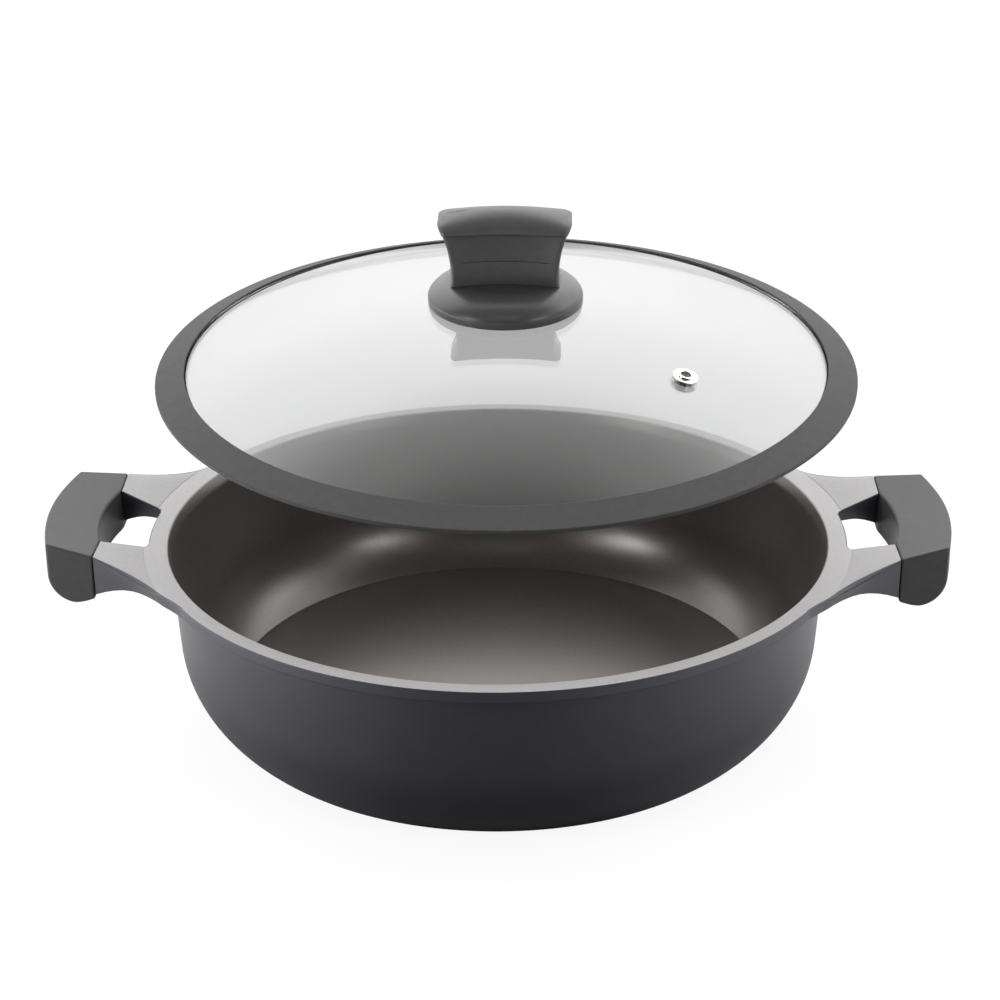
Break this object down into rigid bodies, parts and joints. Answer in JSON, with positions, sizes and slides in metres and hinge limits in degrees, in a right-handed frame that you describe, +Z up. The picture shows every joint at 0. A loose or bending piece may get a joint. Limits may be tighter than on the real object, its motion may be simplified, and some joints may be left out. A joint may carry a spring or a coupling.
{
  "type": "casserole pan",
  "caption": "Shallow round cast casserole pan with side handles, moulded grips and a domed glass lid with a silicone ring, steam vent and bar knob, the lid held above the pan.",
  "frame": {"origin": "middle of the underside of the base, on the surface that the pan stands on", "axes": "+X to the right-hand grip, +Y away from the viewer of the picture, +Z up"},
  "size_m": [0.3816, 0.3241, 0.2125],
  "materials": {
    "cast_aluminium": "satin anthracite coating, dark speckled non-stick inside, bare machined rim and arm tops",
    "steel": "bright",
    "grip_plastic": "matte grey",
    "knob_plastic": "matte dark grey",
    "lid_glass": "clear, polished",
    "silicone": "matte grey",
    "brass": "turned"
  },
  "bodies": {
    "pan": {"pan_body": "cast_aluminium", "base_plate": "steel", "grip_right": "grip_plastic", "grip_left": "grip_plastic", "grip_screw_right_front": "steel", "grip_screw_right_back": "steel", "grip_screw_left_front": "steel", "grip_screw_left_back": "steel"},
    "lid": {"lid_glass": "lid_glass", "lid_ring": "silicone", "vent_eyelet": "steel", "vent_washer": "steel", "knob_base": "knob_plastic", "knob_grip": "knob_plastic", "knob_insert": "brass", "knob_screw": "steel", "knob_washer": "steel", "upper_gasket": "silicone", "lower_gasket": "silicone"}
  },
  "joints": [
    {"name": "lid_lift", "type": "hinge", "parent": "pan", "child": "lid", "pos_m": [0.00165, -0.8424, 0.50941], "axis": [0.9988, -0.0202, -0.0438], "range_deg": [-4.15, 6]}
  ]
}
